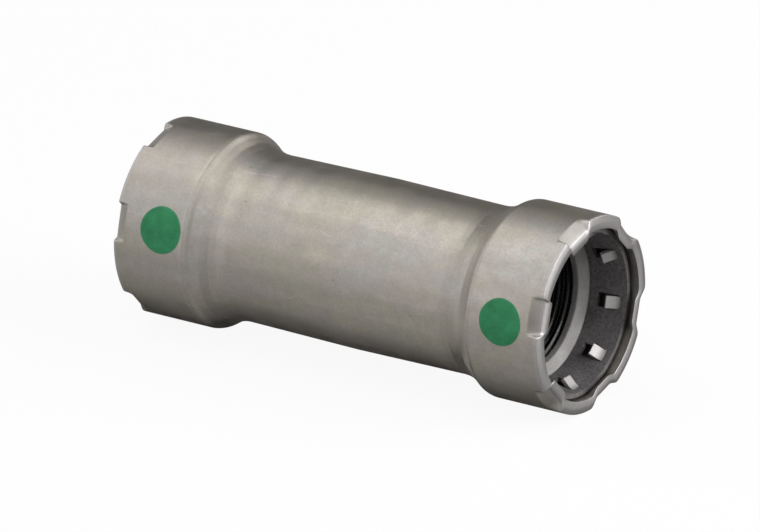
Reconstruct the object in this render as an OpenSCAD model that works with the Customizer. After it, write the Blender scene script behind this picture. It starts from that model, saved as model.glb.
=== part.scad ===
// Press coupling for steel pipe: a straight slip coupling with a press collar at each end.
// +X runs along the pipe axis, +Z is up, and the origin is the middle of the coupling.
// Angles around the axis count from +Y through +Z.

/* [Coupling body] */
// Overall length, rim to rim
coupling_length = 85.2; // [80:0.1:100]
// Outer diameter of the press collars
collar_od = 34; // [33.8:0.1:34.6]
// Outer diameter of the tube where it meets the shoulders
neck_od = 28.9; // [28.7:0.1:29.2]
// Outer diameter of the tube halfway along the coupling
middle_od = 29.5; // [29.2:0.1:30]
// Wall thickness of the collars
wall = 2; // [1.9:0.05:2.1]
// Distance from each rim to where the collar starts to narrow
collar_length = 13.6; // [13.6:0.1:15]
// Bore diameter of the tube between the collars
tube_bore = 24.8; // [24:0.1:25]

/* [Rim dents] */
// Dents around each rim
dent_count = 6; // [3:1:8]
// Width of each dent
dent_width = 6.6; // [4:0.1:7.5]
// How far each dent of the right rim is pressed in
dent_depth_right = 1.55; // [1.1:0.05:1.6]
// How far each dent of the left rim is pressed in
dent_depth_left = 1.2; // [1.1:0.05:1.6]
// How far each dent reaches back from the rim
dent_reach = 2.05; // [1.8:0.05:2.3]
// Angle of the first dent of the right rim
dent_angle_right = 44.5; // [0:0.5:60]
// Angle of the first dent of the left rim
dent_angle_left = 46; // [0:0.5:60]

/* [Grip rings] */
// Distance from the rim to the grip ring
grip_inset = 1.8; // [1.8:0.05:2]
// Length of the grip ring along the axis
grip_length = 6.6; // [6:0.1:6.6]
// Outer diameter of the grip ring at the mouth
grip_od = 29.2; // [29:0.1:29.3]
// Inner diameter of the grip ring at its deep end
grip_throat = 25.3; // [25:0.1:25.6]
// Sheet thickness of the grip ring
grip_sheet = 0.85; // [0.75:0.05:0.9]
// Teeth around each grip ring
tooth_count = 9; // [6:1:12]
// Width of each tooth
tooth_width = 2.1; // [1.6:0.1:2.4]
// Diameter of the circle that the tooth tips lie on
tooth_circle = 23.8; // [23.4:0.1:24.4]
// Angle of the first tooth
tooth_angle = 28; // [0:1:40]
// Width of the split in each grip ring
grip_split = 1.2; // [0.8:0.1:1.6]

/* [Separator rings] */
// Bore diameter of the separator ring, which guides the pipe
guide_bore = 22.2; // [22:0.1:22.6]
// Sheet thickness of the separator ring
separator_sheet = 0.9; // [0.8:0.05:1]

/* [Sealing rings] */
// Inner diameter over the seal's lips
seal_bore = 21.8; // [21.6:0.1:22]
// Depth of the valleys between the lips
lip_depth = 0.9; // [0.6:0.1:1]

/* [Green marks] */
// Diameter of the round mark on each collar
mark_d = 8.2; // [4:0.1:8.4]
// Thickness of the mark's paint
mark_paint = 0.06; // [0.05:0.01:0.1]
// Distance from the rim to the middle of the right mark
mark_inset_right = 7.6; // [6.3:0.1:9.3]
// Distance from the rim to the middle of the left mark
mark_inset_left = 9.5; // [6.3:0.1:9.5]
// Angle of the right mark
mark_angle_right = 171; // [150:1:210]
// Angle of the left mark
mark_angle_left = 165; // [150:1:210]

/* [Hidden] */
$fn = 96;

// Coupling body
half_length = coupling_length / 2;
collar_r = collar_od / 2;
cavity_r = collar_r - wall;
neck_r = neck_od / 2;
bore_r = tube_bore / 2;
collar_start = half_length - collar_length;
shoulder_slope = 34.5;
shoulder_round = 1.5;
neck_fillet_r = 10;
rim_crown = 0.3;
rim_x = half_length - rim_crown;
rim_lip = 0.3;
rim_lip_length = 1.1;
lip_r = cavity_r - rim_lip;
crest_r = (collar_r + lip_r) / 2;
crown_side_inset = 0.45;
rim_inner_x = rim_x + 0.6 * rim_crown;
arc_steps = 7;

// Rim dents
dent_crease = 0.2;
bulge_reach = 1.6;
bulge_root = 0.15;

// Grip ring
grip_mouth_x = half_length - grip_inset;
grip_deep_x = grip_mouth_x - grip_length;
grip_mouth_r = grip_od / 2 - grip_sheet;
grip_throat_r = grip_throat / 2;
grip_lip = 0.15;
tooth_pitch = 360 / tooth_count;
tooth_tip_r = tooth_circle / 2;
tooth_root_x = grip_mouth_x - 1.35;
tooth_reach = 1.6;
tooth_sheet = 0.58;
window_length = 4;
window_side_gap = 0.15;
split_angle = tooth_angle + 3.5 * tooth_pitch;

// Separator ring
separator_x = grip_deep_x - 0.1;
separator_r = cavity_r - 0.06;
guide_r = guide_bore / 2;
separator_dish = 1.35;
guide_length = 1.1;

// Sealing ring
seal_x = separator_x - separator_sheet - 0.08;
seal_outer_gap = 0.02;
lip_count = 3;
lip_pitch = 1.75;
lip_steps = 8;
lip_start_x = separator_x - separator_dish - guide_length - 0.15;
lip_end_x = lip_start_x - lip_count * lip_pitch;
seal_heel_r = 13.3;

// Where the shoulder's slope, inset mm below the outer surface, would meet the collar's straight part.
function shoulder_corner_x(inset) =
    collar_start - (shoulder_round - inset) * tan(shoulder_slope / 2);

// Where the slope, inset mm below the outer surface, comes down to the radius r.
function slope_x(inset, r) =
    shoulder_corner_x(inset) - (collar_r - inset - r) / tan(shoulder_slope);

// Rounded edge between the slope and the collar.
shoulder_edge = [for (i = [0 : arc_steps])
    let (a = shoulder_slope * (1 - i / arc_steps))
    [collar_start - shoulder_round * sin(a), collar_r - shoulder_round * (1 - cos(a))]];

// Wide concave fillet where the outer slope meets the neck.
neck_fillet_x = slope_x(0, neck_r) - neck_fillet_r * tan(shoulder_slope / 2);
neck_fillet = [for (i = [0 : arc_steps])
    let (a = shoulder_slope * i / arc_steps)
    [neck_fillet_x + neck_fillet_r * sin(a), neck_r + neck_fillet_r * (1 - cos(a))]];

// The rim's end face is crowned: it stands out most in the middle of the wall.
crown_outside = [[rim_x, collar_r],
                 [rim_x + 0.75 * rim_crown, collar_r - crown_side_inset],
                 [half_length, crest_r]];
crown_inside = [[rim_x + 0.9 * rim_crown, lip_r + crown_side_inset],
                [rim_inner_x, lip_r]];

// Turn a profile of [x, radius] points around the X axis.
module turned(profile)
    rotate([0, 90, 0])
        rotate_extrude()
            polygon([for (p = profile) [p[1], p[0]]]);

// Extrude a profile of [x, radius] points to a width, at an angle around the X axis.
module fin(profile, width, angle)
    rotate([angle, 0, 0])
        linear_extrude(height = width, center = true)
            polygon(profile);

// Both ends of the coupling are built as the right end; the left end is its mirror image.
module left_end()
    mirror([1, 0, 0])
        children();

function reversed(points) = [for (i = [len(points) - 1 : -1 : 0]) points[i]];

function pressed_in(points, depth) = [for (p = points) [p[0], p[1] - depth]];

function half_outside() = concat(neck_fillet, shoulder_edge, crown_outside);

function half_inside() = concat(crown_inside,
    [[rim_x - rim_lip_length, cavity_r],
     [shoulder_corner_x(wall), cavity_r],
     [slope_x(wall, bore_r), bore_r]]);

module tube_wall() {
    outside = half_outside();
    inside = half_inside();
    left_outside = [for (p = reversed(outside)) [-p[0], p[1]]];
    left_inside = [for (p = reversed(inside)) [-p[0], p[1]]];
    turned(concat(left_outside, [[0, middle_od / 2]], outside, inside, left_inside));
}

// A dent is a flat facet outside, and the wall it pushes in stands out as a bulge inside.
module rim_facet(depth, angle)
    fin(concat([[rim_x - dent_reach, collar_r + 1],
                [rim_x - dent_reach, collar_r - dent_crease]],
               pressed_in(crown_outside, depth),
               [[half_length + 1, crest_r - depth],
                [half_length + 1, collar_r + 1]]), dent_width, angle);

module rim_bulge(depth, angle)
    fin([[rim_x - bulge_reach, cavity_r],
         [rim_inner_x, cavity_r - depth],
         [half_length, crest_r - depth],
         [half_length, cavity_r + bulge_root],
         [rim_x - bulge_reach, cavity_r + bulge_root]], dent_width, angle);

module rim_facets(depth, first_angle)
    for (i = [0 : dent_count - 1])
        rim_facet(depth, first_angle + 360 * i / dent_count);

module rim_bulges(depth, first_angle)
    for (i = [0 : dent_count - 1])
        rim_bulge(depth, first_angle + 360 * i / dent_count);

module fitting_body()
    color([0.62, 0.60, 0.57])
        difference() {
            union() {
                tube_wall();
                rim_bulges(dent_depth_right, dent_angle_right);
                left_end() rim_bulges(dent_depth_left, dent_angle_left);
            }
            rim_facets(dent_depth_right, dent_angle_right);
            left_end() rim_facets(dent_depth_left, dent_angle_left);
        }

// Inner radius of the grip ring's conical band at a place along the axis.
function band_r(x) =
    grip_throat_r + (grip_mouth_r - grip_throat_r) * (x - grip_deep_x) / grip_length;

module grip_band()
    turned([[grip_deep_x, grip_throat_r],
            [grip_mouth_x - grip_lip, band_r(grip_mouth_x - grip_lip)],
            [grip_mouth_x, grip_mouth_r + grip_lip],
            [grip_mouth_x, grip_mouth_r + grip_sheet],
            [grip_deep_x, grip_throat_r + grip_sheet]]);

module tooth_window(angle)
    fin([[tooth_root_x - window_length, tooth_tip_r],
         [tooth_root_x, tooth_tip_r],
         [tooth_root_x, collar_r],
         [tooth_root_x - window_length, collar_r]], tooth_width + 2 * window_side_gap, angle);

// A tooth is a tab of the band that is bent inward, with its root on the mouth side.
module tooth(angle) {
    root_r = band_r(tooth_root_x);
    drop = root_r - tooth_tip_r;
    tab_length = norm([tooth_reach, drop]);
    across = tooth_sheet * [-drop, tooth_reach] / tab_length;
    tip = [tooth_root_x - tooth_reach, tooth_tip_r];
    behind_root = tooth_sheet * tab_length / tooth_reach;
    fin([[tooth_root_x + 0.3, root_r + 0.1],
         [tooth_root_x, root_r],
         tip,
         tip + across,
         [tooth_root_x, root_r + behind_root],
         [tooth_root_x + 0.3, root_r + behind_root]], tooth_width, angle);
}

module grip_ring() {
    difference() {
        grip_band();
        for (i = [0 : tooth_count - 1])
            tooth_window(tooth_angle + i * tooth_pitch);
        fin([[grip_deep_x - 1, tooth_tip_r],
             [grip_mouth_x + 1, tooth_tip_r],
             [grip_mouth_x + 1, collar_r],
             [grip_deep_x - 1, collar_r]], grip_split, split_angle);
    }
    for (i = [0 : tooth_count - 1])
        tooth(tooth_angle + i * tooth_pitch);
}

module separator_ring()
    turned([[separator_x, separator_r],
            [separator_x, grip_throat_r],
            [separator_x - separator_dish, guide_r],
            [separator_x - separator_dish - guide_length, guide_r],
            [separator_x - separator_dish - guide_length, guide_r + separator_sheet],
            [separator_x - separator_dish - 0.35, guide_r + separator_sheet],
            [separator_x - separator_sheet, grip_throat_r + 0.4],
            [separator_x - separator_sheet, separator_r]]);

// The lips are waves along the seal's inner face, and its heel lies on the inside of the shoulder.
function seal_lips() =
    [for (i = [0 : lip_count * lip_steps])
        let (turn = 360 * i / lip_steps)
        [lip_start_x - lip_pitch * i / lip_steps, seal_bore / 2 + lip_depth * (1 + cos(turn)) / 2]];

module sealing_ring()
    turned(concat(
        [[seal_x, cavity_r - seal_outer_gap],
         [seal_x, guide_r + separator_sheet + 1.6],
         [lip_start_x, guide_r + separator_sheet + 0.25]],
        seal_lips(),
        [[lip_end_x - 0.3, seal_bore / 2 + lip_depth + 0.4],
         [slope_x(wall + seal_outer_gap, seal_heel_r), seal_heel_r],
         [shoulder_corner_x(wall + seal_outer_gap), cavity_r - seal_outer_gap]]));

// A round film of paint that lies on the collar.
module green_mark(inset, angle)
    intersection() {
        turned([[collar_start, collar_r],
                [rim_x, collar_r],
                [rim_x, collar_r + mark_paint],
                [collar_start, collar_r + mark_paint]]);
        rotate([angle, 0, 0])
            translate([half_length - inset, 0, 0])
                rotate([-90, 0, 0])
                    cylinder(h = collar_od, d = mark_d);
    }

module grip_ring_right() color([0.33, 0.33, 0.33]) grip_ring();
module grip_ring_left() color([0.33, 0.33, 0.33]) left_end() grip_ring();
module separator_ring_right() color([0.72, 0.72, 0.70]) separator_ring();
module separator_ring_left() color([0.72, 0.72, 0.70]) left_end() separator_ring();
module sealing_ring_right() color([0.06, 0.06, 0.06]) sealing_ring();
module sealing_ring_left() color([0.06, 0.06, 0.06]) left_end() sealing_ring();
module green_mark_right() color([0.10, 0.46, 0.24]) green_mark(mark_inset_right, mark_angle_right);
module green_mark_left() color([0.10, 0.46, 0.24]) left_end() green_mark(mark_inset_left, mark_angle_left);

fitting_body();
grip_ring_right();
grip_ring_left();
separator_ring_right();
separator_ring_left();
sealing_ring_right();
sealing_ring_left();
green_mark_right();
green_mark_left();
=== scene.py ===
"""Looks of a steel press coupling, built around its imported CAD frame.

Metres, +X along the pipe axis, +Z up. Angles around the axis count from +Y through +Z.
"""

import math
import random

import bmesh
import bpy
import numpy as np
from mathutils import Matrix, Vector


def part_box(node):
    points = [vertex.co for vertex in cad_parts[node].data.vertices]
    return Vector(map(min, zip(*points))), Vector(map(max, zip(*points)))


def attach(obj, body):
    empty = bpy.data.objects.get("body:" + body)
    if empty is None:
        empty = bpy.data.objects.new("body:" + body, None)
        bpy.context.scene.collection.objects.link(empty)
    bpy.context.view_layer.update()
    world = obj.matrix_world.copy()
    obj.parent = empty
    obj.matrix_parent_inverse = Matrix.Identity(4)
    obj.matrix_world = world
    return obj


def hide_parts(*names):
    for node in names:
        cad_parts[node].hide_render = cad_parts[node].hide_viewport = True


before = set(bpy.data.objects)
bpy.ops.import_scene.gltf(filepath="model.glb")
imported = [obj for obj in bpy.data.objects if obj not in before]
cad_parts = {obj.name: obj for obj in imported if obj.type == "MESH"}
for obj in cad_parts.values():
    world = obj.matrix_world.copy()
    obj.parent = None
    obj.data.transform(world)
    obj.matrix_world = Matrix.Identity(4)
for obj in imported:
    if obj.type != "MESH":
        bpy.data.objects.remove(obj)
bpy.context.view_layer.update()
random.seed(7)

MM = 0.001
LEFT, RIGHT = -1, 1

# Sizes that the frame gives. The rim's edges lie at HALF, and its crown stands out past them.
body_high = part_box("fitting_body")[1]
grip_low, grip_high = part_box("grip_ring_right")
separator_low, separator_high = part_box("separator_ring_right")
seal_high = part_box("sealing_ring_right")[1]
RIM_CROWN = 0.3 * MM
HALF = body_high.x - RIM_CROWN
COLLAR_R = body_high.z
GRIP_MOUTH_X, GRIP_DEEP_X = grip_high.x, grip_low.x
GRIP_OUTER_R = grip_high.z
SEPARATOR_X, SEPARATOR_END_X = separator_high.x, separator_low.x
SEPARATOR_R = separator_high.z
SEAL_X = seal_high.x

# Coupling body.
WALL = 2.0 * MM
CAVITY_R = COLLAR_R - WALL
NECK_R = 14.45 * MM
MIDDLE_R = 14.75 * MM
BORE_R = 12.4 * MM
COLLAR_LENGTH = 13.3 * MM
SHOULDER_SLOPE = math.radians(34.5)
SHOULDER_ROUND = 1.5 * MM
NECK_FILLET_R = 10.0 * MM
RIM_ZONE = 2.6 * MM
RIM_INNER_R = CAVITY_R - 0.3 * MM
RIM_INNER_STEP = 0.18 * MM
RIM_LIP_LENGTH = 1.1 * MM
SHOULDER_SHIFT = {RIGHT: -0.05 * MM, LEFT: 0.05 * MM}
INNER_STEP = 1.6 * MM

# How far the rim's end face is darkened with the painted shade of the inside.
CROWN_SHADE = 0.6

# Rim dents. A step at a dent's side runs between two angles off its centre, in degrees.
CRISP, WIDE, SOFT = (9.3, 11.7), (7.5, 13.5), (6.5, 15.0)
DENT_COUNT = 6
DENT_PITCH = 2 * math.pi / DENT_COUNT
DENT_DEPTH = 1.55 * MM
DENT_PRESS = {RIGHT: 1.0, LEFT: 0.77}
DENT_REACH = 2.05 * MM
BULGE_REACH = 1.6 * MM
# How far a full dent presses in the rim's crest, its inner edge and the lip behind that.
CREST_PRESS, INNER_PRESS, LIP_PRESS = 1.35 * MM, 1.18 * MM, 0.47 * MM
DENT_PHASE = {RIGHT: math.radians(44.5), LEFT: math.radians(46)}
DENT_DRIFT = {RIGHT: [0.4, 0.6, -0.8, 0, 1, -0.2], LEFT: [0, 0, 0, 0, 0, 0]}
DENT_STEPS = {RIGHT: [(SOFT, SOFT), (WIDE, CRISP), (CRISP, CRISP), (CRISP, WIDE), (SOFT, SOFT), (SOFT, SOFT)],
              LEFT: [(SOFT, WIDE), (CRISP, CRISP), (CRISP, CRISP), (WIDE, SOFT), (SOFT, SOFT), (SOFT, SOFT)]}

# Marks of the forming rollers: start and end along the axis, height, number of half waves,
# and the angle around the axis where they are deepest with how fast they fade from it, in degrees.
FORMING_MARKS = [(-25.0 * MM, -8.0 * MM, 0.034 * MM, 7, 108, 26),
                 (-25.0 * MM, -8.0 * MM, 0.006 * MM, 9, 290, 60),
                 (-28.6 * MM, -24.5 * MM, 0.0045 * MM, 7, 135, 60),
                 (24.5 * MM, 28.4 * MM, 0.002 * MM, 5, 135, 90),
                 (2.0 * MM, 20.0 * MM, 0.018 * MM, 5, 112, 24)]

# Grip rings.
GRIP_SHEET = 0.85 * MM
GRIP_THROAT_R = 12.65 * MM
TOOTH_COUNT = 9
TOOTH_PITCH = 2 * math.pi / TOOTH_COUNT
TOOTH_PHASE = math.radians(28)
TOOTH_WIDTH = 2.1 * MM
TOOTH_TIP_R = 11.9 * MM
TOOTH_ROOT_X = GRIP_MOUTH_X - 1.35 * MM
TOOTH_REACH = 1.6 * MM
WINDOW_LENGTH = 4.0 * MM
WINDOW_GAP = 0.15 * MM
WINDOW_END_ROW = 6
BURR_LENGTH = 0.18 * MM
BURR_HEIGHT = 0.12 * MM
WORN_EDGE = 0.07 * MM
SPLIT_WIDTH = 1.2 * MM
SPLIT_ANGLE = TOOTH_PHASE + 3.5 * TOOTH_PITCH

# Separator and sealing rings.
GUIDE_R = 11.1 * MM
SEPARATOR_SHEET = 0.9 * MM
SEPARATOR_DISH = 1.35 * MM
SEPARATOR_STEP = 0.5 * MM
SEPARATOR_COLUMNS = 192
SEAL_BORE_R = 10.9 * MM
LIP_DEPTH = 0.9 * MM
LIP_PITCH = 1.75 * MM
LIP_COUNT = 3
SEAL_HEEL_R = 13.3 * MM
SEAL_GAP = 0.02 * MM
SEAL_COLUMNS = 160
LIP_STEPS = 14

# Green marks. Their paint thins from MARK_FILM to MARK_EDGE_FILM at the edge.
MARK_FILM = 0.055 * MM
MARK_EDGE_FILM = 0.003 * MM
MARK_COLUMNS = 96
MARK_RINGS = [0.0, 0.3, 0.6, 0.8, 0.9, 0.95, 0.985, 1.0]


# ---------------------------------------------------------------- mesh helpers

def new_piece(name, vertices, faces, body, replaces=()):
    """A smooth-shaded mesh object that rides on a CAD body."""
    mesh = bpy.data.meshes.new(name)
    mesh.from_pydata([tuple(v) for v in vertices], [], faces)
    mesh.validate()
    mesh.polygons.foreach_set("use_smooth", [True] * len(mesh.polygons))
    piece = bpy.data.objects.new(name, mesh)
    bpy.context.scene.collection.objects.link(piece)
    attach(piece, body)
    for node in replaces:
        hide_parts(node)
    return piece


def add_values(piece, name, values):
    """Stores one number for each vertex, for the materials to read."""
    layer = piece.data.attributes.new(name, "FLOAT", "POINT")
    layer.data.foreach_set("value", np.asarray(values, np.float32))


def even_normals(piece):
    """Shades large flat faces flat where they meet small rounded ones."""
    weighted = piece.modifiers.new("even_normals", "WEIGHTED_NORMAL")
    weighted.keep_sharp = True


def rounded_path(corners, arc_step=math.radians(9)):
    """Points along a polyline of (x, r, fillet radius) corners with its corners rounded."""
    points = []
    for i, (x, r, radius) in enumerate(corners):
        here = Vector((x, r))
        if radius == 0 or i in (0, len(corners) - 1):
            points.append(here)
            continue
        back = (Vector(corners[i - 1][:2]) - here).normalized()
        ahead = (Vector(corners[i + 1][:2]) - here).normalized()
        bend = math.pi - back.angle(ahead)
        reach = radius * math.tan(bend / 2)
        centre = here + (back + ahead).normalized() * radius / math.cos(bend / 2)
        start, end = here + back * reach - centre, here + ahead * reach - centre
        turn = start.angle_signed(end)
        count = max(2, math.ceil(abs(turn) / arc_step))
        for k in range(count + 1):
            a = -turn * k / count
            spun = Vector((start.x * math.cos(a) - start.y * math.sin(a),
                           start.x * math.sin(a) + start.y * math.cos(a)))
            points.append(centre + spun)
    return points


def fine_path(points, step_at):
    """Adds points so that no step is longer than step_at(x) allows."""
    fine = [points[0]]
    for a, b in zip(points, points[1:]):
        allowed = min(step_at(a.x), step_at(b.x), step_at((a.x + b.x) / 2))
        count = max(1, math.ceil((b - a).length / allowed))
        for k in range(1, count + 1):
            fine.append(a.lerp(b, k / count))
    return fine


def turned_faces(rows, columns):
    """Faces of a closed profile of that many rows turned through that many columns."""
    faces = []
    for j in range(columns):
        j2 = (j + 1) % columns
        for i in range(rows):
            i2 = (i + 1) % rows
            faces.append((j * rows + i, j * rows + i2, j2 * rows + i2, j2 * rows + i))
    return faces


def turned(profile, angles, side=RIGHT):
    """Vertices and faces of a closed [x, r] profile turned around the X axis.

    side LEFT mirrors it to the left end. The profile runs clockwise with x to the right.
    """
    vertices = [(side * p[0], p[1] * math.cos(a), p[1] * math.sin(a)) for a in angles for p in profile]
    faces = turned_faces(len(profile), len(angles))
    if side == LEFT:
        faces = [f[::-1] for f in faces]
    return vertices, faces


def even_angles(count):
    return [2 * math.pi * k / count for k in range(count)]


# ---------------------------------------------------------------- coupling body

def corner_x(inset):
    """Where the shoulder's slope, that far below the outer surface, would meet the collar."""
    return HALF - COLLAR_LENGTH - (SHOULDER_ROUND - inset) * math.tan(SHOULDER_SLOPE / 2)


def slope_x(inset, r):
    """Where the slope, that far below the outer surface, comes down to the radius r."""
    return corner_x(inset) - (COLLAR_R - inset - r) / math.tan(SHOULDER_SLOPE)


def shoulder_outline(shift):
    """Outer corners from the middle of the tube to where the rim's rows start, for the right end."""
    return [(0, MIDDLE_R, 0), (slope_x(0, NECK_R) + shift, NECK_R, NECK_FILLET_R),
            (corner_x(0) + shift, COLLAR_R, SHOULDER_ROUND), (HALF - RIM_ZONE, COLLAR_R, 0)]


def cavity_outline():
    """Inner corners from where the rim's rows end back to the middle of the bore, for the right end."""
    return [(HALF - RIM_ZONE, CAVITY_R, 0), (corner_x(WALL), CAVITY_R, 0.8 * MM),
            (slope_x(WALL, BORE_R), BORE_R, 1.2 * MM), (0, BORE_R, 0)]


def rim_outline(pressed):
    """Corners around the rim from the outside to the inside: x, r, flatness and rounding.

    pressed is 0 for the plain rim and 1 for the middle of a dent, whose outer face is flat.
    """
    facet = DENT_DEPTH * pressed
    crest_drop = CREST_PRESS * pressed
    inner_drop = INNER_PRESS * pressed
    bulge = LIP_PRESS * pressed
    return [Vector((HALF - RIM_ZONE, COLLAR_R, 0, 0)),
            Vector((HALF - DENT_REACH, COLLAR_R, 0, 0.16 * MM)),
            Vector((HALF, COLLAR_R - facet, 0.85, 0.13 * MM)),
            Vector((HALF + 0.2 * MM, COLLAR_R - 0.65 * MM - crest_drop, 1, 0.24 * MM)),
            Vector((HALF + RIM_CROWN, COLLAR_R - 1.15 * MM - crest_drop, 1, 0.24 * MM)),
            Vector((HALF + 0.26 * MM, COLLAR_R - 1.85 * MM - inner_drop, 1, 0.18 * MM)),
            Vector((HALF + RIM_INNER_STEP, RIM_INNER_R - inner_drop, 1, 0.12 * MM)),
            Vector((HALF - RIM_LIP_LENGTH, CAVITY_R - bulge, 0.35, 0.3 * MM)),
            Vector((HALF - BULGE_REACH, CAVITY_R, 0, 0.18 * MM)),
            Vector((HALF - RIM_ZONE, CAVITY_R, 0, 0))]


def rim_rows(pressed):
    """Rows (x, r, flatness) around the rim: as many for a dent as for the plain rim."""
    corners = rim_outline(pressed)
    leg_rows = [2, 8, 2, 1, 2, 1, 4, 2, 2]
    bend_rows = 4
    rows = []
    start = corners[0]
    for i, count in enumerate(leg_rows):
        here, ahead = corners[i], corners[i + 1]
        reach = ahead[3] / (ahead - here).xy.length
        end = ahead.lerp(here, reach)
        rows += [start.lerp(end, k / count) for k in range(count)]
        if i + 1 == len(leg_rows):
            rows.append(ahead)
            break
        beyond = ahead.lerp(corners[i + 2], ahead[3] / (corners[i + 2] - ahead).xy.length)
        for k in range(bend_rows):
            t = k / bend_rows
            rows.append(end.lerp(ahead, t).lerp(ahead.lerp(beyond, t), t))
        start = beyond
    return rows


def outer_step(x):
    """Longest step along the body's outline: shortest on the shoulders, where the light shows most."""
    if abs(x) < 6 * MM:
        return 1.2 * MM
    if abs(x) < 22 * MM:
        return 0.6 * MM
    return 0.3 * MM if abs(x) < 29.5 * MM else 1.2 * MM


def body_angles():
    """Columns that lie closest where the dents of either end have their side steps."""
    zones = []
    for side in (LEFT, RIGHT):
        for k, steps in enumerate(DENT_STEPS[side]):
            for sign, (flat, edge) in zip((-1, 1), steps):
                middle = dent_centre(side, k) + sign * math.radians(flat + edge) / 2
                half = math.radians(edge - flat + 0.8) / 2
                zones.append((middle, half, half / 4))
    angles = []
    a = 0.0
    while a < 2 * math.pi - 1e-6:
        angles.append(a)
        near = [step for middle, half, step in zones if abs(wrapped(a - middle)) < half]
        a += min(near + [math.radians(2)])
    return angles


def wrapped(angle):
    """The same angle between minus and plus half a turn."""
    return (angle + math.pi) % (2 * math.pi) - math.pi


def dent_centre(side, k):
    return DENT_PHASE[side] + k * DENT_PITCH + math.radians(DENT_DRIFT[side][k])


def soft_step(t):
    t = min(1.0, max(0.0, t))
    return t * t * (3 - 2 * t)


def nearest_dent(angle, side):
    """How deep the nearest dent is at that angle, from 0 to 1, and the angle off its centre."""
    offs = [wrapped(angle - dent_centre(side, k)) for k in range(DENT_COUNT)]
    nearest = min(range(DENT_COUNT), key=lambda k: abs(offs[k]))
    off = offs[nearest]
    flat, edge = DENT_STEPS[side][nearest][0 if off < 0 else 1]
    return soft_step((edge - math.degrees(abs(off))) / (edge - flat)), off


def rim_place(plain, dent, angle, side):
    """A rim vertex: the plain rim's place, moved towards the dent's."""
    weight, off = nearest_dent(angle, side)
    x, height, across = plain.x, plain.y * math.cos(off), plain.y * math.sin(off)
    if weight > 0:
        flat_height = dent.y * (math.cos(off) + dent.z * (1 - math.cos(off)))
        x += weight * (dent.x - x)
        height += weight * (flat_height - height)
    centre = angle - off
    y = height * math.cos(centre) - across * math.sin(centre)
    z = height * math.sin(centre) + across * math.cos(centre)
    return (side * x, y, z), weight


def forming_marks(x, angle):
    """How far the rollers' marks lift the outer surface at a place along the axis and around it."""
    lift = 0.0
    for start, end, height, count, middle, spread in FORMING_MARKS:
        if start < x < end:
            t = (x - start) / (end - start)
            fade = math.exp(-(wrapped(angle - math.radians(middle)) / math.radians(spread)) ** 2)
            lift += height * fade * math.sin(t * math.pi * count) * math.sin(t * math.pi)
    return lift


def build_body():
    plain = rim_rows(0)
    dent = {side: rim_rows(DENT_PRESS[side]) for side in (LEFT, RIGHT)}
    crest = max(range(len(plain)), key=lambda i: plain[i].x)
    last = len(plain) - 1
    profile = []
    for side in (LEFT, RIGHT):
        outside = fine_path(rounded_path(shoulder_outline(SHOULDER_SHIFT[side])), outer_step)[1:-1]
        half = [("outer", side * p.x, p.y) for p in outside]
        half += [("rim", side, i) for i in range(last + 1)]
        inside = fine_path(rounded_path(cavity_outline()), lambda x: INNER_STEP)[1:-1]
        half += [("inner", side * p.x, p.y) for p in inside]
        if side == RIGHT:
            profile += [("outer", 0.0, MIDDLE_R)] + half
        else:
            profile += [("inner", 0.0, BORE_R)] + half[::-1]
    angles = body_angles()
    vertices, wear_and_sheen, inner = [], [], []
    for a in angles:
        cos_a, sin_a = math.cos(a), math.sin(a)
        for kind, p, q in profile:
            if kind == "rim":
                place, weight = rim_place(plain[q], dent[p][q], a, p)
                at_edge = soft_step((plain[q].x - (HALF - 0.7 * MM)) / (0.5 * MM))
                facet = weight * dent[p][q].z if q <= crest else 0.0
                vertices.append(place)
                # Lighter at the rim's outer edge as wear, and on the dent facets as a painted sheen.
                wear_and_sheen.append(max(at_edge, 0.6 * facet))
                # The rim's end face gets part of the inside's painted shade.
                inner.append(CROWN_SHADE if plain[q].x > HALF else 0.0)
                continue
            r = q + forming_marks(p, a) if kind == "outer" else q
            vertices.append((p, r * cos_a, r * sin_a))
            wear_and_sheen.append(0.0)
            # The bore and the cavity get the full painted shade.
            inner.append(1.0 if kind == "inner" else 0.0)
    faces = turned_faces(len(profile), len(angles))
    piece = new_piece("coupling_body", vertices, faces, "fitting", ["fitting_body"])
    add_values(piece, "wear_and_sheen", wear_and_sheen)
    add_values(piece, "inner", inner)
    tidy_normals(piece)
    piece.data.materials.append(coated_steel())
    return piece


# ---------------------------------------------------------------- grip rings

def band_r(x):
    """Inner radius of the grip ring's conical band."""
    mouth_r = GRIP_OUTER_R - GRIP_SHEET
    return GRIP_THROAT_R + (mouth_r - GRIP_THROAT_R) * (x - GRIP_DEEP_X) / (GRIP_MOUTH_X - GRIP_DEEP_X)


def band_columns():
    """Angles of the band's columns, and whether the gap after each one is a window or the split."""
    window = (TOOTH_WIDTH / 2 + WINDOW_GAP) / GRIP_THROAT_R
    split = SPLIT_WIDTH / 2 / GRIP_THROAT_R
    marks = []
    for k in range(TOOTH_COUNT):
        centre = TOOTH_PHASE + k * TOOTH_PITCH
        marks += [(centre - window, "window"), (centre + window, "band")]
    marks += [(SPLIT_ANGLE - split, "split"), (SPLIT_ANGLE + split, "band")]
    marks.sort()
    marks.append((marks[0][0] + 2 * math.pi, marks[0][1]))
    columns = []
    for (a, kind), (b, _) in zip(marks, marks[1:]):
        count = 1 if kind == "split" else max(4, math.ceil((b - a) / math.radians(2)))
        columns += [(a + (b - a) * k / count, kind) for k in range(count)]
    return columns


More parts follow.
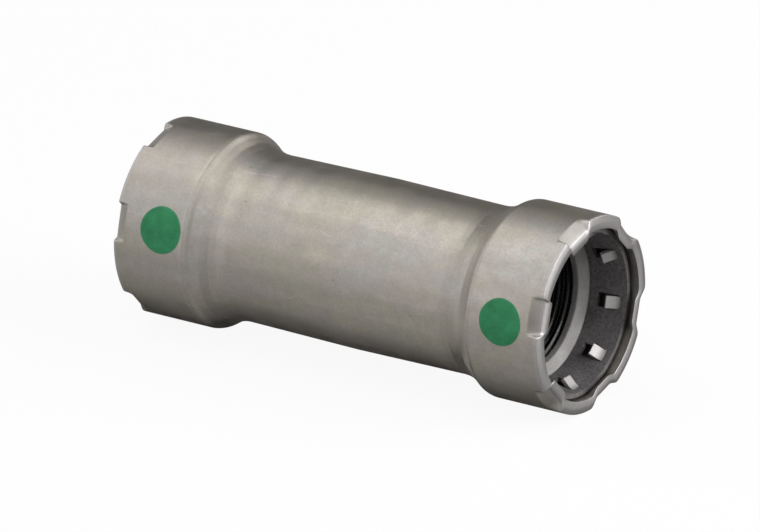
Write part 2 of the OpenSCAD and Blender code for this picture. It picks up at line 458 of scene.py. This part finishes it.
def band_mesh(side):
    """The split conical band with a window behind each tooth, as one closed mesh."""
    stations = [GRIP_MOUTH_X]
    stations += [GRIP_MOUTH_X - f * (GRIP_MOUTH_X - TOOTH_ROOT_X) for f in (0.12, 0.5)]
    window_end = TOOTH_ROOT_X - WINDOW_LENGTH
    stations += [TOOTH_ROOT_X - f * WINDOW_LENGTH for f in (0, 0.33, 0.66, 1)]
    stations += [window_end + f * (GRIP_DEEP_X - window_end) for f in (0.5, 0.93, 1)]
    columns = band_columns()
    rows = len(stations)

    def index(column, row, outer):
        return ((column % len(columns)) * rows + row) * 2 + outer

    vertices = []
    for angle, kind in columns:
        for row, x in enumerate(stations):
            burr = random.uniform(0.0, 1.0) if kind == "window" and row == WINDOW_END_ROW else 0.0
            x += BURR_LENGTH * burr
            for r in (band_r(x) - BURR_HEIGHT * burr, band_r(x) + GRIP_SHEET):
                vertices.append((side * x, r * math.cos(angle), r * math.sin(angle)))

    def solid(column, row):
        kind = columns[column % len(columns)][1]
        in_window = stations[row] <= TOOTH_ROOT_X + 1e-9 and stations[row + 1] >= window_end - 1e-9
        return kind == "band" or (kind == "window" and not in_window)

    faces = []
    for c in range(len(columns)):
        for w in range(rows - 1):
            if not solid(c, w):
                continue
            faces.append([index(c, w, 0), index(c, w + 1, 0), index(c + 1, w + 1, 0), index(c + 1, w, 0)])
            faces.append([index(c, w, 1), index(c + 1, w, 1), index(c + 1, w + 1, 1), index(c, w + 1, 1)])
            if w == 0 or not solid(c, w - 1):
                faces.append([index(c, w, 0), index(c + 1, w, 0), index(c + 1, w, 1), index(c, w, 1)])
            if w == rows - 2 or not solid(c, w + 1):
                faces.append([index(c, w + 1, 0), index(c, w + 1, 1),
                              index(c + 1, w + 1, 1), index(c + 1, w + 1, 0)])
            if not solid(c - 1, w):
                faces.append([index(c, w, 0), index(c, w, 1), index(c, w + 1, 1), index(c, w + 1, 0)])
            if not solid(c + 1, w):
                faces.append([index(c + 1, w, 0), index(c + 1, w + 1, 0),
                              index(c + 1, w + 1, 1), index(c + 1, w, 1)])
    return vertices, faces


def tooth_section():
    """Inner and outer outline of a bent tooth, root first, as pairs of (x, r) points."""
    root = Vector((TOOTH_ROOT_X, band_r(TOOTH_ROOT_X)))
    tip = Vector((TOOTH_ROOT_X - TOOTH_REACH, TOOTH_TIP_R))
    start = Vector((TOOTH_ROOT_X + 0.35 * MM, band_r(TOOTH_ROOT_X + 0.35 * MM) + 0.03 * MM))
    inner = [start]
    for t in (0.0, 0.25, 0.5, 0.75, 1.0):
        first = start.lerp(root, t)
        inner.append(first.lerp(root.lerp(tip, 0.45), t))
    inner += [root.lerp(tip, f) for f in (0.6, 0.8, 0.95, 1.0)]
    pairs = []
    for k, point in enumerate(inner):
        along = (inner[min(k + 1, len(inner) - 1)] - inner[max(k - 1, 0)]).normalized()
        outward = Vector((along.y, -along.x))
        if outward.y < 0:
            outward = -outward
        thick = GRIP_SHEET * (0.86 - 0.12 * k / len(inner))
        pairs.append((point, point + outward * thick))
    return pairs


def tooth_mesh(side, angle):
    """One lanced tooth as a closed mesh: a bent tab whose face is slightly dished."""
    pairs = tooth_section()
    across = [-1, -0.92, -0.4, 0.4, 0.92, 1]
    vertices = []
    for k, pair in enumerate(pairs):
        for point in pair:
            for f in across:
                tangent = f * TOOTH_WIDTH / 2 * (1 - 0.04 * k / len(pairs))
                radial = point.y - 0.03 * MM * (f * f) * (k / len(pairs))
                y = radial * math.cos(angle) - tangent * math.sin(angle)
                z = radial * math.sin(angle) + tangent * math.cos(angle)
                vertices.append((side * point.x, y, z))
    n = len(across)

    def index(k, outer, f):
        return (k * 2 + outer) * n + f

    faces = []
    for k in range(len(pairs) - 1):
        for f in range(n - 1):
            faces.append([index(k, 0, f), index(k, 0, f + 1), index(k + 1, 0, f + 1), index(k + 1, 0, f)])
            faces.append([index(k, 1, f), index(k + 1, 1, f), index(k + 1, 1, f + 1), index(k, 1, f + 1)])
        faces.append([index(k, 0, 0), index(k + 1, 0, 0), index(k + 1, 1, 0), index(k, 1, 0)])
        faces.append([index(k, 0, n - 1), index(k, 1, n - 1), index(k + 1, 1, n - 1), index(k + 1, 0, n - 1)])
    for k, flip in ((0, False), (len(pairs) - 1, True)):
        for f in range(n - 1):
            end = [index(k, 0, f), index(k, 1, f), index(k, 1, f + 1), index(k, 0, f + 1)]
            faces.append(end[::-1] if flip else end)
    return vertices, faces


def painted_tooth_highlight(vertex):
    """How much painted highlight a tooth gets at a vertex: 0 at its root and 1 where it stands inward."""
    depth = GRIP_OUTER_R - 1.0 * MM - math.hypot(vertex[1], vertex[2])
    return max(0.0, min(1.0, depth / (0.5 * MM)))


def build_grip_ring(side):
    name = "right" if side == RIGHT else "left"
    vertices, faces = band_mesh(side)
    tooth_highlight_values = [0.0] * len(vertices)
    for k in range(TOOTH_COUNT):
        more, more_faces = tooth_mesh(side, TOOTH_PHASE + k * TOOTH_PITCH)
        faces += [[i + len(vertices) for i in f] for f in more_faces]
        vertices += more
        tooth_highlight_values += [painted_tooth_highlight(v) for v in more]
    piece = new_piece("grip_ring_detail_" + name, vertices, faces, name + "_grip",
                      ["grip_ring_" + name])
    add_values(piece, "tooth", tooth_highlight_values)
    tidy_normals(piece)
    bevel = piece.modifiers.new("worn_edges", "BEVEL")
    bevel.width = WORN_EDGE
    bevel.segments = 2
    bevel.limit_method = "ANGLE"
    bevel.angle_limit = math.radians(50)
    even_normals(piece)
    piece.data.materials.append(hardened_steel())
    return piece


def tidy_normals(piece):
    """Points every face outward and drops vertices that no face uses."""
    work = bmesh.new()
    work.from_mesh(piece.data)
    loose = [v for v in work.verts if not v.link_faces]
    bmesh.ops.delete(work, geom=loose, context="VERTS")
    bmesh.ops.recalc_face_normals(work, faces=work.faces)
    work.to_mesh(piece.data)
    work.free()


# ---------------------------------------------------------------- separator and sealing rings

def build_separator(side):
    name = "right" if side == RIGHT else "left"
    back_x = SEPARATOR_X - SEPARATOR_SHEET
    dish_x = SEPARATOR_X - SEPARATOR_DISH
    corners = [(SEPARATOR_X, (SEPARATOR_R + GRIP_THROAT_R) / 2, 0),
               (SEPARATOR_X, GRIP_THROAT_R + 0.1 * MM, 0.5 * MM),
               (dish_x, GUIDE_R, 0.32 * MM),
               (SEPARATOR_END_X, GUIDE_R, 0.12 * MM),
               (SEPARATOR_END_X, GUIDE_R + SEPARATOR_SHEET, 0.12 * MM),
               (dish_x - 0.3 * MM, GUIDE_R + SEPARATOR_SHEET, 0.3 * MM),
               (back_x, GRIP_THROAT_R + 0.5 * MM, 0.3 * MM),
               (back_x, SEPARATOR_R, 0.15 * MM),
               (SEPARATOR_X, SEPARATOR_R, 0.15 * MM),
               (SEPARATOR_X, (SEPARATOR_R + GRIP_THROAT_R) / 2, 0)]
    path = fine_path(rounded_path(corners, math.radians(15)), lambda x: SEPARATOR_STEP)[:-1]
    vertices, faces = turned([(p.x, p.y) for p in path], even_angles(SEPARATOR_COLUMNS), side)
    piece = new_piece("separator_detail_" + name, vertices, faces, "fitting",
                      ["separator_ring_" + name])
    tidy_normals(piece)
    even_normals(piece)
    piece.data.materials.append(bright_steel())
    return piece


def build_seal(side):
    name = "right" if side == RIGHT else "left"
    lip_start = SEPARATOR_END_X - 0.15 * MM
    gap = SEAL_GAP
    path = [Vector((SEAL_X, CAVITY_R - gap)), Vector((SEAL_X, GUIDE_R + SEPARATOR_SHEET + 1.6 * MM)),
            Vector((lip_start + 0.12 * MM, GUIDE_R + SEPARATOR_SHEET + 0.3 * MM))]
    for i in range(LIP_COUNT * LIP_STEPS + 1):
        wave = (1 + math.cos(2 * math.pi * i / LIP_STEPS)) / 2
        path.append(Vector((lip_start - LIP_PITCH * i / LIP_STEPS, SEAL_BORE_R + LIP_DEPTH * wave ** 0.7)))
    lip_end = lip_start - LIP_COUNT * LIP_PITCH
    path.append(Vector((lip_end - 0.3 * MM, SEAL_BORE_R + LIP_DEPTH + 0.4 * MM)))
    path += [Vector((slope_x(WALL + gap, SEAL_HEEL_R), SEAL_HEEL_R)),
             Vector((corner_x(WALL + gap), CAVITY_R - gap))]
    path = [p for k, p in enumerate(path) if k == 0 or (p - path[k - 1]).length > 1e-6]
    vertices, faces = turned([(p.x, p.y) for p in path], even_angles(SEAL_COLUMNS), side)
    piece = new_piece("seal_detail_" + name, vertices, faces, "fitting",
                      ["sealing_ring_" + name])
    tidy_normals(piece)
    even_normals(piece)
    piece.data.materials.append(seal_rubber())
    return piece


# ---------------------------------------------------------------- green marks

def build_mark(side):
    name = "right" if side == RIGHT else "left"
    low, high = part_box("green_mark_" + name)
    centre_x = (low.x + high.x) / 2
    radius = (high.x - low.x) / 2
    centre_angle = mark_angle(high, radius)
    rings = MARK_RINGS
    count = MARK_COLUMNS
    wobble = [0.003 * math.sin(3 * a + side) + 0.003 * math.sin(7 * a + 2) for a in even_angles(count)]
    vertices, faces, edge = [], [], []
    for f in rings:
        lift = MARK_FILM * (1 - soft_step((f - 0.93) / 0.07)) + MARK_EDGE_FILM
        for k, a in enumerate(even_angles(count)):
            reach = radius * f * (0.99 + wobble[k])
            x = centre_x + reach * math.cos(a)
            angle = centre_angle + math.asin(reach * math.sin(a) / COLLAR_R)
            r = COLLAR_R + lift
            vertices.append((x, r * math.cos(angle), r * math.sin(angle)))
            edge.append(f)
    for i in range(1, len(rings) - 1):
        for k in range(count):
            k2 = (k + 1) % count
            faces.append([i * count + k, i * count + k2, (i + 1) * count + k2, (i + 1) * count + k])
    faces += [[0, count + k, count + (k + 1) % count] for k in range(count)]
    base = len(vertices)
    for k in range(count):
        x, y, z = vertices[(len(rings) - 1) * count + k]
        shrink = (COLLAR_R - 0.02 * MM) / math.hypot(y, z)
        vertices.append((x, y * shrink, z * shrink))
        edge.append(1.0)
    for k in range(count):
        k2 = (k + 1) % count
        faces.append([base - count + k, base - count + k2, base + k2, base + k])
    faces.append([base + k for k in range(count)][::-1])
    piece = new_piece("green_paint_" + name, vertices, faces, "fitting",
                      ["green_mark_" + name])
    add_values(piece, "edge", edge)
    tidy_normals(piece)
    piece.data.materials.append(green_paint())
    return piece


def mark_angle(high, radius):
    """Angle around the axis of a round mark on the collar, from its box."""
    half_angle = math.asin(radius / COLLAR_R)
    top = math.asin(min(1.0, high.z / (COLLAR_R + 0.06 * MM)))
    return math.pi - (top - half_angle)


# ---------------------------------------------------------------- material helpers

class Shader:
    """A node tree around one Principled shader, with short calls for common nodes."""

    def __init__(self, name):
        self.material = bpy.data.materials.new(name)
        self.material.use_nodes = True
        self.tree = self.material.node_tree
        self.surface = self.tree.nodes["Principled BSDF"]
        coordinates = self.tree.nodes.new("ShaderNodeTexCoord")
        self.place = coordinates.outputs["Object"]

    def put(self, value, socket):
        if isinstance(value, bpy.types.NodeSocket):
            self.tree.links.new(value, socket)
        else:
            socket.default_value = value

    def stretched(self, x, y, z):
        """The place scaled along each axis."""
        node = self.tree.nodes.new("ShaderNodeVectorMath")
        node.operation = "MULTIPLY"
        self.tree.links.new(self.place, node.inputs[0])
        node.inputs[1].default_value = (x, y, z)
        return node.outputs[0]

    def noise(self, scale, detail=3.0, rough=0.5, where=None):
        node = self.tree.nodes.new("ShaderNodeTexNoise")
        self.tree.links.new(where or self.place, node.inputs["Vector"])
        node.inputs["Scale"].default_value = scale
        node.inputs["Detail"].default_value = detail
        node.inputs["Roughness"].default_value = rough
        return node.outputs["Fac"]

    def cells(self, scale):
        node = self.tree.nodes.new("ShaderNodeTexVoronoi")
        self.tree.links.new(self.place, node.inputs["Vector"])
        node.inputs["Scale"].default_value = scale
        return node.outputs["Distance"]

    def value(self, name):
        node = self.tree.nodes.new("ShaderNodeAttribute")
        node.attribute_name = name
        return node.outputs["Fac"]

    def scratch(self, angle, start, end, drift, width):
        """1 along a thin line on the outside, at an angle around the axis that drifts along it."""
        parts = self.tree.nodes.new("ShaderNodeSeparateXYZ")
        self.tree.links.new(self.place, parts.inputs[0])
        x, y, z = parts.outputs
        around = self.math("ARCTAN2", z, self.math("MULTIPLY", y, -1.0))
        lean = self.math("MULTIPLY", self.math("SUBTRACT", x, start), drift / (end - start))
        off = self.math("ABSOLUTE", self.math("SUBTRACT", around, self.math("ADD", lean, math.pi - angle)))
        line = self.range(off, width / COLLAR_R, 0.4 * width / COLLAR_R)
        fade = (end - start) * 0.25
        line = self.math("MULTIPLY", line, self.range(x, start, start + fade))
        line = self.math("MULTIPLY", line, self.range(x, end, end - fade))
        broken = self.range(self.noise(900, 2), 0.38, 0.52)
        return self.math("MULTIPLY", line, broken)

    def range(self, value, low, high, to_low=0.0, to_high=1.0):
        node = self.tree.nodes.new("ShaderNodeMapRange")
        self.put(value, node.inputs["Value"])
        ends = {"From Min": low, "From Max": high, "To Min": to_low, "To Max": to_high}
        for socket, number in ends.items():
            self.put(number, node.inputs[socket])
        return node.outputs["Result"]

    def math(self, operation, a, b=0.0):
        node = self.tree.nodes.new("ShaderNodeMath")
        node.operation = operation
        self.put(a, node.inputs[0])
        self.put(b, node.inputs[1])
        return node.outputs[0]

    def mix(self, factor, a, b, blend="MIX"):
        node = self.tree.nodes.new("ShaderNodeMix")
        node.data_type = "RGBA"
        node.blend_type = blend
        self.put(factor, node.inputs["Factor"])
        self.put(a, node.inputs[6])
        self.put(b, node.inputs[7])
        return node.outputs[2]

    def tint(self, factor, stops):
        """A colour ramp through (position, colour) stops."""
        node = self.tree.nodes.new("ShaderNodeValToRGB")
        self.put(factor, node.inputs["Fac"])
        ramp = node.color_ramp
        while len(ramp.elements) < len(stops):
            ramp.elements.new(0.5)
        for element, (position, colour) in zip(ramp.elements, stops):
            element.position = position
            element.color = (*colour, 1)
        return node.outputs["Color"]

    def bump(self, height, depth, after=None):
        node = self.tree.nodes.new("ShaderNodeBump")
        node.inputs["Distance"].default_value = depth
        node.inputs["Strength"].default_value = 1.0
        self.put(height, node.inputs["Height"])
        if after is not None:
            self.put(after, node.inputs["Normal"])
        return node.outputs["Normal"]

    def finish(self, colour, rough, normal, metallic=0.0, **fixed):
        self.put(colour, self.surface.inputs["Base Color"])
        self.put(rough, self.surface.inputs["Roughness"])
        self.put(normal, self.surface.inputs["Normal"])
        self.surface.inputs["Metallic"].default_value = metallic
        for name, number in fixed.items():
            self.surface.inputs[name.replace("_", " ")].default_value = number
        return self.material


def once(build):
    """Keeps a material so that both ends share it."""
    made = {}

    def shared():
        if "it" not in made:
            made["it"] = build()
        return made["it"]
    return shared


# ---------------------------------------------------------------- materials

# Handling scratches on the body: angle about the axis, start, end, drift in angle, and half width.
SCRATCHES = [(math.radians(113), -26.0 * MM, -16.5 * MM, 0.06, 0.11 * MM),
             (math.radians(120), -25.5 * MM, -24.2 * MM, 0.14, 0.12 * MM),
             (math.radians(140), -6.0 * MM, -1.0 * MM, -0.10, 0.08 * MM),
             (math.radians(196), -10.0 * MM, -6.5 * MM, 0.12, 0.09 * MM),
             (math.radians(110), 23.0 * MM, 25.5 * MM, -0.05, 0.12 * MM),
             (math.radians(70), -4.0 * MM, 7.0 * MM, 0.12, 0.09 * MM),
             (math.radians(-60), -15.0 * MM, -2.0 * MM, 0.10, 0.10 * MM)]


@once
def coated_steel():
    """Satin grey coating, clouded with faint tints, with grain, streaks, pits and scratches."""
    s = Shader("coated_steel")
    cloud = s.noise(120, 4, 0.6)
    tinge = s.noise(75, 6, 0.72, s.stretched(0.6, 1.4, 1.4))
    patch = s.noise(420, 4, 0.65)
    grain = s.noise(2600, 3, 0.65)
    drawn = s.noise(1.0, 4, 0.6, s.stretched(55, 1700, 1700))
    rings = s.noise(1.0, 4, 0.6, s.stretched(1500, 45, 45))
    pits = s.range(s.cells(360), 0.05, 0.11, 1, 0)
    pits = s.math("MULTIPLY", pits, s.range(s.noise(210, 2), 0.56, 0.62))
    wear_and_sheen = s.value("wear_and_sheen")
    inner = s.value("inner")
    scratches = 0.0
    for angle, start, end, drift, width in SCRATCHES:
        scratches = s.math("MAXIMUM", scratches, s.scratch(angle, start, end, drift, width))

    warm = s.tint(cloud, [(0.3, (0.608, 0.570, 0.493)), (0.5, (0.644, 0.609, 0.530)),
                          (0.7, (0.664, 0.622, 0.566))])
    tinted = s.tint(tinge, [(0.30, (0.614, 0.628, 0.524)), (0.42, (0.647, 0.607, 0.492)),
                            (0.52, (0.663, 0.592, 0.560)), (0.62, (0.606, 0.604, 0.589)),
                            (0.72, (0.647, 0.616, 0.525))])
    colour = s.mix(0.7, warm, tinted)
    colour = s.mix(s.range(patch, 0.35, 0.7, 0, 0.5), colour, (0.50, 0.470, 0.415, 1))
    colour = s.mix(s.range(grain, 0.35, 0.7, 0, 0.44), colour, (0.44, 0.412, 0.37, 1))
    colour = s.mix(s.range(drawn, 0.55, 0.8, 0, 0.3), colour, (0.76, 0.72, 0.65, 1))
    colour = s.mix(s.math("MULTIPLY", pits, 0.35), colour, (0.16, 0.14, 0.12, 1))
    colour = s.mix(s.math("MULTIPLY", scratches, 0.7), colour, (0.86, 0.84, 0.80, 1))
    # Lightens the worn rim edge, and paints a sheen on the dent facets.
    colour = s.mix(s.math("MULTIPLY", wear_and_sheen, 0.6), colour, (0.68, 0.67, 0.68, 1))
    # Painted shade: darkens the bore, the cavity and, less, the rim's end face.
    colour = s.mix(s.math("MULTIPLY", inner, 0.75), colour, (0.20, 0.19, 0.19, 1))

    rough = s.range(cloud, 0.3, 0.7, 0.34, 0.44)
    rough = s.math("ADD", rough, s.range(grain, 0.3, 0.7, -0.04, 0.05))
    rough = s.math("ADD", rough, s.range(patch, 0.35, 0.65, -0.03, 0.03))
    rough = s.math("ADD", rough, s.math("MULTIPLY", wear_and_sheen, 0.10))

    height = s.math("ADD", s.math("MULTIPLY", grain, 0.5), s.math("MULTIPLY", drawn, 0.3))
    height = s.math("ADD", height, s.math("MULTIPLY", rings, 0.35))
    height = s.math("SUBTRACT", height, s.math("MULTIPLY", pits, 0.7))
    height = s.math("SUBTRACT", height, s.math("MULTIPLY", scratches, 0.9))
    height = s.math("MULTIPLY", height, s.math("SUBTRACT", 1.0, s.math("MULTIPLY", wear_and_sheen, 0.7)))
    dimples = s.bump(patch, 0.025 * MM)
    waves = s.bump(s.noise(95, 2, 0.4), 0.10 * MM, after=dimples)
    normal = s.bump(height, 0.014 * MM, after=waves)
    return s.finish(colour, rough, normal, metallic=1.0)


@once
def hardened_steel():
    """Dark phosphated sheet steel, with a painted highlight on the bent teeth and worn, rounded edges."""
    s = Shader("hardened_steel")
    cloud = s.noise(260, 4, 0.6)
    grain = s.noise(2000, 3, 0.7)
    scratches = s.noise(1.0, 4, 0.65, s.stretched(2600, 260, 260))
    tooth = s.value("tooth")
    dark = s.tint(cloud, [(0.3, (0.17, 0.158, 0.162)), (0.55, (0.22, 0.208, 0.210)),
                          (0.75, (0.28, 0.265, 0.265))])
    colour = s.mix(s.range(grain, 0.4, 0.65, 0, 0.7), dark, (0.085, 0.08, 0.08, 1))
    colour = s.mix(s.range(scratches, 0.58, 0.8, 0, 0.6), colour, (0.36, 0.345, 0.34, 1))
    # Painted highlight on the bent teeth, strongest where they stand inward.
    bright = s.mix(s.range(grain, 0.3, 0.7, 0, 0.3), (0.56, 0.54, 0.53, 1), (0.38, 0.37, 0.36, 1))
    colour = s.mix(tooth, colour, bright)
    rough = s.range(cloud, 0.3, 0.7, 0.50, 0.62)
    rough = s.math("SUBTRACT", rough, s.math("MULTIPLY", tooth, 0.12))
    height = s.math("ADD", grain, s.math("MULTIPLY", scratches, 0.6))
    normal = s.bump(height, 0.008 * MM)
    return s.finish(colour, rough, normal, metallic=0.45)


@once
def bright_steel():
    """Rolled stainless sheet with fine circular marks."""
    s = Shader("bright_steel")
    cloud = s.noise(230, 3, 0.5)
    grain = s.noise(2400, 3, 0.6)
    lines = s.noise(1.0, 3, 0.6, s.stretched(4200, 700, 700))
    colour = s.tint(cloud, [(0.3, (0.35, 0.335, 0.328)), (0.7, (0.44, 0.425, 0.415))])
    colour = s.mix(s.range(grain, 0.4, 0.7, 0, 0.35), colour, (0.25, 0.24, 0.232, 1))
    rough = s.range(lines, 0.3, 0.7, 0.58, 0.68)
    height = s.math("ADD", lines, s.math("MULTIPLY", grain, 0.4))
    normal = s.bump(height, 0.008 * MM)
    return s.finish(colour, rough, normal, metallic=0.35)


@once
def seal_rubber():
    """Black rubber, shiny with lubricant, with moulding marks and a little dust."""
    s = Shader("seal_rubber")
    film = s.noise(190, 3, 0.6)
    grain = s.noise(2200, 3, 0.6)
    colour = s.tint(grain, [(0.3, (0.0055, 0.0055, 0.0055)), (0.75, (0.013, 0.013, 0.013))])
    rough = s.math("ADD", s.range(film, 0.35, 0.65, 0.20, 0.32), s.range(grain, 0.3, 0.7, -0.02, 0.03))
    normal = s.bump(s.math("ADD", grain, s.math("MULTIPLY", film, 3.0)), 0.010 * MM)
    return s.finish(colour, rough, normal, IOR=1.4)


@once
def green_paint():
    """Matte marking paint, dabbed on: uneven cover, speckled, thin at its edge."""
    s = Shader("green_paint")
    blotch = s.noise(380, 4, 0.6)
    speck = s.noise(2600, 3, 0.7)
    edge = s.value("edge")
    colour = s.tint(blotch, [(0.3, (0.022, 0.235, 0.088)), (0.55, (0.032, 0.315, 0.125)),
                             (0.75, (0.052, 0.385, 0.170))])
    colour = s.mix(s.range(speck, 0.6, 0.75, 0, 0.5), colour, (0.14, 0.48, 0.26, 1))
    colour = s.mix(s.range(edge, 0.92, 1.0, 0, 0.4), colour, (0.12, 0.36, 0.20, 1))
    rough = s.range(blotch, 0.3, 0.7, 0.42, 0.6)
    normal = s.bump(s.math("ADD", s.math("MULTIPLY", speck, 0.5), blotch), 0.012 * MM)
    return s.finish(colour, rough, normal, IOR=1.45)


# ---------------------------------------------------------------- camera, light and floor

VIEW_AZIMUTH = math.radians(33.32)
VIEW_ELEVATION = math.radians(21.37)
VIEW_DISTANCE = 113.7 * COLLAR_R
FOCAL_RATIO = 15.13
SENSOR = 36.0
# Where the camera aims, from the origin along the picture's own up and right.
AIM_UP, AIM_RIGHT = -0.306 * MM, 0.275 * MM

# Strength of each soft panel, by its tilt towards +X and its angle about the X axis, in degrees.
PANELS = {
    -90: {0: 0.1},
    -60: {30: 0.4, 90: 0.86, 120: 0.3, 150: 0.65, 180: 0.58, 240: 0.6, 330: 1.0},
    -20: {0: 0.14, 30: 0.1, 60: 0.5, 90: 1.74, 120: 1.26, 150: 1.08, 180: 0.81, 210: 0.55,
          240: 0.47, 270: 0.17},
    20: {30: 2.1, 60: 0.73, 90: 1.15, 120: 1.2, 150: 0.97, 180: 0.73, 210: 0.54, 240: 0.46,
         270: 0.42, 330: 0.33},
    60: {0: 0.7, 60: 8.8, 180: 0.22, 330: 1.0},
    90: {0: 1.66},
}
PANEL_SIZE = 0.62
PANEL_POWER = math.pi / 4
PANEL_DISTANCE = 1.0

FLOOR_SIZE = 3.0
FLOOR_GLOW = 0.92


def view_axes():
    towards = Vector((math.sin(VIEW_AZIMUTH) * math.cos(VIEW_ELEVATION),
                      -math.cos(VIEW_AZIMUTH) * math.cos(VIEW_ELEVATION), math.sin(VIEW_ELEVATION)))
    right = Vector((math.cos(VIEW_AZIMUTH), math.sin(VIEW_AZIMUTH), 0))
    return towards, right, towards.cross(right)


def add_camera():
    towards, right, up = view_axes()
    data = bpy.data.cameras.new("camera")
    data.sensor_width = SENSOR
    data.lens = FOCAL_RATIO * SENSOR
    data.clip_end = 20
    camera = bpy.data.objects.new("camera", data)
    aim = AIM_UP * up + AIM_RIGHT * right
    camera.location = aim + towards * VIEW_DISTANCE
    camera.rotation_euler = towards.to_track_quat("Z", "Y").to_euler()
    bpy.context.scene.collection.objects.link(camera)
    bpy.context.scene.camera = camera


def add_panel(around, tilt, strength):
    """A soft square panel that faces the origin.

    around is its angle about the X axis and tilt leans it towards +X, both in degrees.
    """
    a, b = math.radians(around), math.radians(tilt)
    towards = Vector((math.sin(b), math.cos(a) * math.cos(b), math.sin(a) * math.cos(b)))
    side = Vector((0, -math.sin(a), math.cos(a)))
    along = side.cross(towards)
    data = bpy.data.lights.new("panel_%d_%d" % (around, tilt), "AREA")
    data.size = PANEL_SIZE
    data.energy = PANEL_POWER * strength
    panel = bpy.data.objects.new(data.name, data)
    turn = Matrix((along, side, towards)).transposed().to_4x4()
    panel.matrix_world = Matrix.Translation(towards * PANEL_DISTANCE) @ turn
    panel.visible_camera = False
    bpy.context.scene.collection.objects.link(panel)


def add_light():
    """A tent of soft panels: bright above, fading down the front, with a key light off the open end."""
    for tilt, row in PANELS.items():
        for around, strength in row.items():
            add_panel(around, tilt, strength)
    add_world()


def add_world():
    """White where the camera looks past the floor, black for everything that the object reflects."""
    world = bpy.data.worlds.new("studio")
    world.use_nodes = True
    tree = world.node_tree
    rays = tree.nodes.new("ShaderNodeLightPath")
    background = tree.nodes["Background"]
    background.inputs["Color"].default_value = (0.98, 0.98, 0.98, 1)
    tree.links.new(rays.outputs["Is Camera Ray"], background.inputs["Strength"])
    bpy.context.scene.world = world


def add_floor():
    """White paper that glows a little, so that it stays pale and only a faint shadow shows."""
    size = FLOOR_SIZE
    z = -COLLAR_R
    mesh = bpy.data.meshes.new("floor")
    corners = [(-size, -size, z), (size, -size, z), (size, size, z), (-size, size, z)]
    mesh.from_pydata(corners, [], [(0, 1, 2, 3)])
    floor = bpy.data.objects.new("floor", mesh)
    bpy.context.scene.collection.objects.link(floor)
    material = bpy.data.materials.new("floor_paper")
    material.use_nodes = True
    surface = material.node_tree.nodes["Principled BSDF"]
    surface.inputs["Base Color"].default_value = (0.08, 0.08, 0.08, 1)
    surface.inputs["Roughness"].default_value = 0.9
    surface.inputs["Specular IOR Level"].default_value = 0.0
    surface.inputs["Emission Color"].default_value = (1, 1, 1, 1)
    surface.inputs["Emission Strength"].default_value = FLOOR_GLOW
    mesh.materials.append(material)
    floor.visible_glossy = False
    floor.visible_diffuse = False
    floor.visible_shadow = False


# ---------------------------------------------------------------- the object and its stage

build_body()
for end in (RIGHT, LEFT):
    build_grip_ring(end)
    build_separator(end)
    build_seal(end)
    build_mark(end)
add_camera()
add_light()
add_floor()
bpy.context.scene.view_settings.view_transform = "Standard"
